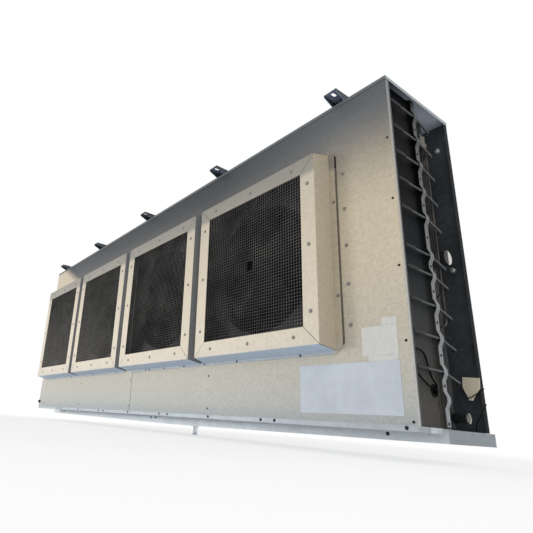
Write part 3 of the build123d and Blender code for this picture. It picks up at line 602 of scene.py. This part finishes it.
# Drawn copper, long tarnished: grey to brown in patches of 45 mm, with a dull gleam.
tarnish_mm = 45
old_copper, tree, shader, place = new_material("tarnished_drawn_copper")
tarnish = add(tree, "TexNoise", {"Vector": place, "Scale": 1000 / tarnish_mm, "Detail": 5.0})
copper_tone = add(tree, "ValToRGB", {0: tarnish}, stops=[(0.3, "35363A"), (0.55, "55534F"), (0.8, "7D7064")])
weather(tree, shader, place, copper_tone, metallic=0.4, roughness=0.42, patch_mm=20, grain_mm=4, spread=0.1)
coil_floor = -1.228
tube_radius = 0.008
tube_pitch = 0.0527
circuit_pitch = 0.1054
tube_columns = [0.005, 0.063, 0.121, 0.179]
tube_levels = [coil_floor + 0.044 + k * tube_pitch for k in range(22)]
tube = cylinder(10, tube_radius, coil_high[0] - coil_low[0], turn=(0, radians(90), 0))
bpy.ops.object.shade_smooth_by_angle(angle=radians(40))
tube_places = [Matrix.Translation((coil_middle[0], y, z)) for y in tube_columns for z in tube_levels]
set_copies("coil_tubes", tube, tube_places, old_copper)


# Return bends and feeders: copper tube bent on a former and brazed into the tube sheet.
# A ring is pulled along each run and spun round each corner, as the bender does it.
def bent_rod(name, points, radius, bend, sides, steps):
    """A round rod along straight runs and turned corners, closed at both ends."""
    corners = [Vector(p) for p in points]
    first = (corners[1] - corners[0]).normalized()
    bpy.ops.object.select_all(action="DESELECT")
    bpy.ops.mesh.primitive_circle_add(vertices=sides, radius=radius, fill_type="NOTHING", location=corners[0],
                                      rotation=first.to_track_quat("Z", "Y").to_euler())
    rod = bpy.context.object
    rod.name = name
    bpy.ops.object.transform_apply(location=True, rotation=True, scale=True)
    bpy.ops.object.mode_set(mode="EDIT")
    bpy.ops.mesh.select_all(action="SELECT")
    here = corners[0]
    for before, corner, after in zip(corners, corners[1:], corners[2:]):
        come = (corner - before).normalized()
        go = (after - corner).normalized()
        turn = come.angle(go)
        start = corner - come * bend * tan(turn / 2)
        if (start - here).length > 1e-6:
            bpy.ops.mesh.extrude_region_move(TRANSFORM_OT_translate={"value": start - here})
        inward = (go - come * come.dot(go)).normalized()
        bpy.ops.mesh.spin(steps=steps, angle=-turn, center=start + inward * bend, axis=come.cross(go))
        here = corner + go * bend * tan(turn / 2)
    bpy.ops.mesh.extrude_region_move(TRANSFORM_OT_translate={"value": corners[-1] - here})
    bpy.ops.mesh.select_all(action="SELECT")
    bpy.ops.mesh.remove_doubles(threshold=1e-6)
    bpy.ops.mesh.fill_holes(sides=0)
    bpy.ops.mesh.select_all(action="SELECT")
    bpy.ops.mesh.normals_make_consistent(inside=False)
    bpy.ops.object.mode_set(mode="OBJECT")
    bpy.ops.object.shade_smooth_by_angle(angle=radians(40))
    return rod


sheet_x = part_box("return_bends")[0][0]
bend_radius = tube_pitch / 2
bend_tip = sheet_x + 0.014 + bend_radius
bend_corners = [(sheet_x, 0, 0), (bend_tip, 0, 0), (bend_tip, 0, tube_pitch), (sheet_x, 0, tube_pitch)]
bend_places = [Matrix.Translation((0, y, z)) for y in tube_columns[0::3] for z in tube_levels[0::2]]
one_bend = bent_rod("return_bend", bend_corners, tube_radius, bend_radius - 0.0001, 12, 5)
bends = set_copies("copper_return_bends", one_bend, bend_places, old_copper)
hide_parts("return_bends")

# Five thin feeders fan out from the distributor, each down to its own circuit.
feeder_low, feeder_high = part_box("feeder_tubes")
feeder_y = (feeder_low[1] + feeder_high[1]) / 2
feeder_gap = 0.0076
feeder_foot = coil_floor + 0.330
distributor_low, distributor_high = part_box("distributor")
feeders = []
for k in range(5):
    x = (distributor_low[0] + distributor_high[0]) / 2 + (k - 2) * feeder_gap
    z = feeder_foot + (4 - k) * circuit_pitch
    feeder_corners = [(x, feeder_y, feeder_high[2]), (x, feeder_y, z), (sheet_x, feeder_y, z)]
    feeders.append(bent_rod("feeder", feeder_corners, 0.0032, 0.018, 8, 5))
fit(join(feeders), "copper_feeders", old_copper)
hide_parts("feeder_tubes")

# The distributor is turned and milled brass that has dulled to grey-brown.
dull_brass, tree, shader, place = new_material("dull_machined_brass")
weather(tree, shader, place, "747068", metallic=0.5, roughness=0.4, patch_mm=20, grain_mm=4, spread=0.12)
dress(dull_brass, "distributor")


# Suction header: a large copper pipe with a branch brazed in for each circuit, an outlet stub and a small
# trap stub. The stub ends were cut clean, and the light in their bores and on one side of their rims is
# painted.
header_low, header_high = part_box("suction_header")
header_x = sheet_x + 0.153
header_y = 0.121

# Tarnished copper darkened to grey-black with painted shade; bores and far rims painted nearly white as lit.
header_copper, tree, shader, place = new_material("copper_header_with_painted_lit_ends")
axes = add(tree, "SeparateXYZ", {0: place})
facing = add(tree, "SeparateXYZ", {0: add(tree, "NewGeometry").outputs["Normal"]})
from_axis = add(tree, "Math", {0: axes.outputs["Y"], 1: -header_y}, operation="ADD")
outward = add(tree, "Math", {0: from_axis, 1: facing.outputs["Y"]}, operation="MULTIPLY")
bore = add(tree, "Math", {0: outward, 1: -0.006}, operation="LESS_THAN")
rim = add(tree, "Math", {0: axes.outputs["X"], 1: header_high[0] - 0.003}, operation="GREATER_THAN")
far_side = add(tree, "Math", {0: from_axis, 1: 0.002}, operation="GREATER_THAN")
far_rim = add(tree, "Math", {0: rim, 1: far_side}, operation="MULTIPLY")
painted_lit_end = add(tree, "Math", {0: bore, 1: far_rim}, operation="MAXIMUM")
tarnish = add(tree, "TexNoise", {"Vector": place, "Scale": 1000 / tarnish_mm, "Detail": 5.0})
pipe_tone = add(tree, "ValToRGB", {0: tarnish}, stops=[(0.3, "242628"), (0.55, "343536"), (0.8, "4A4541")])
ended = add(tree, "Mix", {0: painted_lit_end, 6: pipe_tone, 7: "E4E1DA"}, data_type="RGBA")
weather(tree, shader, place, ended, metallic=0.3, roughness=0.4, patch_mm=25, grain_mm=5, spread=0.08)


def pipe(start, end, radius, wall):
    """A round pipe. If it has a wall, its selected faces are inset and pushed back from its far end."""
    bore_depth = 0.03
    a = Vector(start)
    b = Vector(end)
    along = (b - a).normalized()
    made = cylinder(32, radius, (b - a).length, (a + b) / 2, along.to_track_quat("Z", "Y").to_euler())
    if wall > 0:
        # The outlet stub comes in vertex mode, with all of it selected, and gets a second shell.
        # The trap stub comes in face mode, with only its end selected, and gets a bore.
        for face in made.data.polygons:
            face.select = face.normal.dot(along) > 0.9
        bpy.ops.object.mode_set(mode="EDIT")
        bpy.ops.mesh.select_mode(type="FACE")
        bpy.ops.mesh.inset(thickness=wall)
        bpy.ops.mesh.extrude_region_move(TRANSFORM_OT_translate={"value": along * -bore_depth})
        bpy.ops.object.mode_set(mode="OBJECT")
    bpy.ops.object.shade_smooth_by_angle(angle=radians(40))
    return made


pipes = [pipe((header_x, header_y, header_low[2]), (header_x, header_y, header_high[2]), 0.027, 0)]
for z in tube_levels[0::2]:
    pipes.append(pipe((sheet_x, header_y, z), (header_x, header_y, z), tube_radius, 0))
for z, radius in ((-0.637, 0.027), (-1.188, 0.017)):
    pipes.append(pipe((header_x, header_y, z), (header_high[0], header_y, z), radius, 0.0025))
fit(join(pipes), "copper_suction_header", header_copper)
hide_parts("suction_header")


# Defrost heaters: ten steel-sheathed elements that come out of the coil, cross the open end
# under a crimped strap and finish in moulded rubber ends.
heater_x = 1.6212
heater_rear_y = 0.084
heater_front_y = -0.118
rear_drop = 0.026
strap_low, strap_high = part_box("heater_strap")
strap_y = (strap_low[1] + strap_high[1]) / 2
heater_levels = [coil_floor + 0.170 + k * circuit_pitch for k in range(10)]
heater_levels[4] -= 0.034

# Drawn steel tube: dark grey, with a soft gleam along it.
sheath_steel, tree, shader, place = new_material("drawn_steel_heater_sheath")
weather(tree, shader, place, "4C4E50", metallic=0.4, roughness=0.42, patch_mm=30, grain_mm=5, spread=0.12)
rod_corners = [(sheet_x, heater_rear_y, -rear_drop), (heater_x, heater_rear_y, -rear_drop),
               (heater_x, strap_y, 0), (heater_x, heater_front_y, 0)]
one_rod = bent_rod("heater", rod_corners, 0.0042, 0.016, 10, 6)
rods = set_copies("heater_elements", one_rod, [Matrix.Translation((0, 0, z)) for z in heater_levels],
                  sheath_steel)
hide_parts("heater_rods")

# The ends are rubber moulded over the sheath: near black and matt, a barrel with a nipple at each end.
moulded_rubber, tree, shader, place = new_material("moulded_black_rubber")
weather(tree, shader, place, "323436", metallic=0.0, roughness=0.5, patch_mm=15, grain_mm=3,
        spread=0.2, shine=0.15)
sleeve_length = 0.058
sleeve = cylinder(14, 0.0064, sleeve_length, turn=(radians(90), 0, 0))
for side in (-1, 1):
    pick(sleeve, "FACE", lambda face: face.normal.y * side > 0.9)
    bpy.ops.mesh.inset(thickness=0.0014, depth=0.0)
    bpy.ops.mesh.extrude_region_move(TRANSFORM_OT_translate={"value": (0, side * 0.004, 0)})
bpy.ops.object.mode_set(mode="OBJECT")
bpy.ops.object.shade_smooth_by_angle(angle=radians(40))
sleeve_places = [Matrix.Translation((heater_x, heater_front_y - sleeve_length / 2, z)) for z in heater_levels]
sleeves = set_copies("heater_rubber_ends", sleeve, sleeve_places, moulded_rubber)
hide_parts("heater_sleeves")

# Leads: rubber-sheathed wires, black and matt. A loom behind the wall's flange gathers one from every end,
# and two longer ones sag from it to a grommet in the end sheet, the upper looping over the lowest element.
soft_rubber, tree, shader, place = new_material("black_cable_rubber")
weather(tree, shader, place, "0A0B0C", metallic=0.0, roughness=0.65, patch_mm=15, grain_mm=3,
        spread=0.2, shine=0.05)
dress(soft_rubber, "lead_loom", "grommet")
upper_route = [(1.6205, -0.184, -1.0105), (1.615, -0.150, -1.000), (1.613, -0.106, -1.010),
               (1.613, -0.094, -1.052), (1.616, -0.082, -1.088), (1.624, -0.064, -1.110),
               (1.597, -0.061, -1.1128)]
lower_route = [(1.6205, -0.184, -1.0705), (1.617, -0.160, -1.080), (1.614, -0.120, -1.100),
               (1.617, -0.084, -1.116), (1.623, -0.062, -1.123), (1.597, -0.061, -1.1232)]
lead_diameter = 0.0052
for name, route, length in (("upper", upper_route, 0.2055), ("lower", lower_route, 0.152)):
    line = bpy.data.curves.new(f"lead_{name}", "CURVE")
    line.dimensions = "3D"
    line.bevel_depth = lead_diameter / 2
    line.bevel_resolution = 3
    line.use_fill_caps = True
    spline = line.splines.new("NURBS")
    spline.points.add(len(route) - 1)
    for point, corner in zip(spline.points, route):
        point.co = (*corner, 1)
    spline.order_u = 3
    spline.use_endpoint_u = True
    lead = bpy.data.objects.new(f"lead_{name}", line)
    bpy.context.collection.objects.link(lead)
    fit(lead, f"lead_{name}", soft_rubber)
    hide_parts(f"heater_lead_{name}")

# The strap is thin zinc strip, crimped over every element and screwed between them: pale grey low down,
# and painted darker towards the roof, as shade.
strap_zinc, tree, shader, place = new_material("galvanised_steel_strap")
axes = add(tree, "SeparateXYZ", {0: place})
height = add(tree, "MapRange", {0: axes.outputs["Z"], 1: coil_floor, 2: -0.03, 3: 0.0, 4: 1.0})
strap_tone = add(tree, "ValToRGB", {0: height}, stops=[
    (0.0, "979B9F"), (0.35, "838587"), (0.7, "5F6162"), (1.0, "3F4143")])
weather(tree, shader, place, strap_tone, metallic=0.3, roughness=0.45, patch_mm=25, grain_mm=6, spread=0.1)
dress(strap_zinc, "heater_strap")
strap_face_x = strap_low[0] + 0.0014
strap_levels = [(z + above) / 2 for z, above in zip(heater_levels, heater_levels[1:])] + [-1.1, -1.212]
strap_screws = [(strap_face_x, strap_y, z) for z in strap_levels]
set_screws("strap_screws", 0.0045, 0.002, strap_screws, to_right, screw_and_hole_black)


# Bolt heads on the back wall of the open end: steel bolts that hold the coil frame.
# Their bright zinc plate is nearly white and glossy.
bright_zinc, tree, shader, place = new_material("bright_zinc_bolt")
weather(tree, shader, place, "D5D6D6", metallic=0.6, roughness=0.3, patch_mm=10, grain_mm=3, spread=0.08)
bolt_spots = [(1.586, rear_high[1] - 0.0016, z) for z in (-0.142, -0.657)]
set_screws("back_wall_bolts", 0.011, 0.009, bolt_spots, to_front, bright_zinc)


# Labels: blank vinyl film with rounded corners, pressed on to the wall below and beside the last fan.
# The large one is pale and faintly blue, with a soft gloss and slow ripples of 90 mm.
def label(name, x0, x1, z0, z1, material):
    """A thin film on the fan wall: a plane whose corners are rounded, given thickness."""
    rise = 0.0006
    bpy.ops.object.select_all(action="DESELECT")
    bpy.ops.mesh.primitive_plane_add(size=1, location=((x0 + x1) / 2, wall_y - rise, (z0 + z1) / 2),
                                     rotation=(radians(90), 0, 0))
    made = bpy.context.object
    made.scale = (x1 - x0, z1 - z0, 1)
    bpy.ops.object.transform_apply(location=True, rotation=True, scale=True)
    bpy.ops.object.mode_set(mode="EDIT")
    bpy.ops.mesh.select_all(action="SELECT")
    bpy.ops.mesh.bevel(offset=0.003, segments=3, affect="VERTICES")
    bpy.ops.object.mode_set(mode="OBJECT")
    film = made.modifiers.new("film", "SOLIDIFY")
    film.thickness = 0.0004
    film.offset = -1
    bpy.ops.object.modifier_apply(modifier="film")
    fit(made, name, material)


ripple_mm = 90
blue_white_vinyl, tree, shader, place = new_material("pale_vinyl_sticker")
ripple = add(tree, "TexNoise", {"Vector": place, "Scale": 1000 / ripple_mm, "Detail": 3.0})
film_tone = add(tree, "ValToRGB", {0: ripple}, stops=[(0.3, "BFC7D1"), (0.7, "CAD2DB")])
weather(tree, shader, place, film_tone, metallic=0.0, roughness=0.4, patch_mm=90, grain_mm=20, spread=0.02)
label("wall_sticker", 1.221, 1.594, -1.203, -1.043, blue_white_vinyl)

# White vinyl: chalky, and less glossy than the blue.
white_vinyl, tree, shader, place = new_material("white_vinyl_label")
weather(tree, shader, place, "D2D2CE", metallic=0.0, roughness=0.45, patch_mm=30, grain_mm=6, spread=0.05)
label("side_label_main", 1.475, 1.594, -1.026, -0.934, white_vinyl)
label("side_label_top", 1.546, 1.595, -0.9335, -0.910, white_vinyl)
label("side_label_low", 1.494, 1.592, -1.0425, -1.0265, white_vinyl)


# Ear tag: a soft plastic tag that hangs against the back wall's flange on a nylon tie.
# It is moulded flat, with a broad head and a narrow tongue that the tie goes through.
flange_y = rear_high[1] - 0.022
tag_thick = 0.0024
bpy.ops.object.select_all(action="DESELECT")
bpy.ops.mesh.primitive_plane_add(size=1, rotation=(radians(90), 0, 0))
tag = bpy.context.object
tag.scale = (0.054, 0.034, 1)
bpy.ops.object.transform_apply(location=True, rotation=True, scale=True)
pick(tag, "EDGE", lambda edge: all(tag.data.vertices[v].co.z < 0 for v in edge.vertices))
for drop, narrow in ((0.030, 0.40), (0.012, 0.6)):
    bpy.ops.mesh.extrude_region_move(TRANSFORM_OT_translate={"value": (-0.001, 0, -drop)})
    bpy.ops.transform.resize(value=(narrow, 1, 1))
bpy.ops.object.mode_set(mode="OBJECT")
body = tag.modifiers.new("body", "SOLIDIFY")
body.thickness = tag_thick
body.offset = 0
bpy.ops.object.modifier_apply(modifier="body")
edge = tag.modifiers.new("edge", "BEVEL")
edge.width = 0.001
edge.segments = 2
bpy.ops.object.modifier_apply(modifier="edge")
tag.location = (1.605, flange_y - tag_thick / 2, -1.068)
tag.rotation_euler = (0, radians(5), 0)
bpy.ops.object.transform_apply(location=True, rotation=True, scale=True)

# Soft moulded plastic: cream, with a faint gloss.
tag_beige, tree, shader, place = new_material("beige_moulded_tag")
weather(tree, shader, place, "F7EED6", metallic=0.0, roughness=0.5, patch_mm=20, grain_mm=5, spread=0.04)
fit(tag, "ear_tag", tag_beige)

# Nylon cord: black, with a slight shine.
black_nylon, tree, shader, place = new_material("black_nylon_tie")
weather(tree, shader, place, "0E0F10", metallic=0.0, roughness=0.5, patch_mm=10, grain_mm=3,
        spread=0.15, shine=0.15)
tie_radius = 0.0017
tie_y = flange_y - tag_thick - tie_radius
tie_runs = [[(1.586, tie_y, -1.121), (1.604, tie_y, -1.115), (1.6435, tie_y, -1.0885)],
            [(1.604, tie_y, -1.225), (1.606, tie_y, -1.202), (1.6435, tie_y, -1.138)]]
ties = [bent_rod("tie", run, tie_radius, 0.02, 8, 4) for run in tie_runs]
fit(join(ties), "tag_ties", black_nylon)


# Stage: a plain pale floor of studio paper, a white surround and a soft lamp from the front.
# The camera and reflections find plain white, while the floor near the object keeps its shadow.
def plain_rays(tree):
    """1 for rays from the camera, a gloss or a clear pane, and 0 for those that carry light."""
    rays = add(tree, "LightPath")
    seen = add(tree, "Math", {0: rays.outputs["Is Camera Ray"], 1: rays.outputs["Is Glossy Ray"]},
               operation="MAXIMUM")
    return add(tree, "Math", {0: seen, 1: rays.outputs["Is Transmission Ray"]}, operation="MAXIMUM")


bpy.ops.object.select_all(action="DESELECT")
bpy.ops.mesh.primitive_plane_add(size=60, location=(0, 0, cad_box[0][2] - 0.0006))
floor = bpy.context.object
floor.name = "studio_floor"
floor_paper, tree, shader, place = new_material("white_studio_paper")
shader.inputs["Base Color"].default_value = hex_colour("FAFAFA")
shader.inputs["Roughness"].default_value = 0.9
shader.inputs["Specular IOR Level"].default_value = 0.0
away = add(tree, "VectorMath", {0: place}, operation="LENGTH")
fade = add(tree, "MapRange", {0: away, 1: 1.7, 2: 3.0, 3: 0.7, 4: 1.0})
whiten = add(tree, "Math", {0: plain_rays(tree), 1: fade}, operation="MULTIPLY")
glow = add(tree, "Emission", {"Color": "FFFFFF", "Strength": 1.0})
paper = add(tree, "MixShader", {0: whiten, 1: shader, 2: glow})
fill(tree, tree.nodes["Material Output"].inputs["Surface"], paper)
floor.data.materials.append(floor_paper)

surround = bpy.data.worlds.new("white_surround")
bpy.context.scene.world = surround
surround.use_nodes = True
tree = surround.node_tree
level = add(tree, "MapRange", {0: plain_rays(tree), 1: 0.0, 2: 1.0, 3: 0.80, 4: 1.0})
sky = tree.nodes["Background"]
sky.inputs["Color"].default_value = hex_colour("FFFFFF")
fill(tree, sky.inputs["Strength"], level)

lamp = bpy.data.lights.new("soft_key", "SUN")
lamp.angle = radians(14)
lamp.energy = 0.75
key = bpy.data.objects.new("soft_key", lamp)
bpy.context.collection.objects.link(key)
key.location = (-4, -5, 1)
key.rotation_euler = Vector((0.78, 0.61, -0.05)).to_track_quat("-Z", "Y").to_euler()


# Camera: low, in front of the open end, where the photograph was taken.
# Its place and turn were fitted to the cabinet's corners in the photograph.
eye = bpy.data.cameras.new("camera")
eye.sensor_width = 36.0
eye.lens = 30.15
eye.shift_x = 0.1832
eye.shift_y = 0.0133
eye.clip_end = 200
camera = bpy.data.objects.new("camera", eye)
bpy.context.collection.objects.link(camera)
camera.matrix_world = Matrix((
    (0.555893, 0.220698, 0.801421, 2.32894),
    (0.828074, -0.231277, -0.510690, -1.51305),
    (0.072642, 0.947525, -0.311319, -1.26267),
    (0, 0, 0, 1)))
bpy.context.scene.camera = camera
bpy.context.scene.view_settings.view_transform = "Standard"
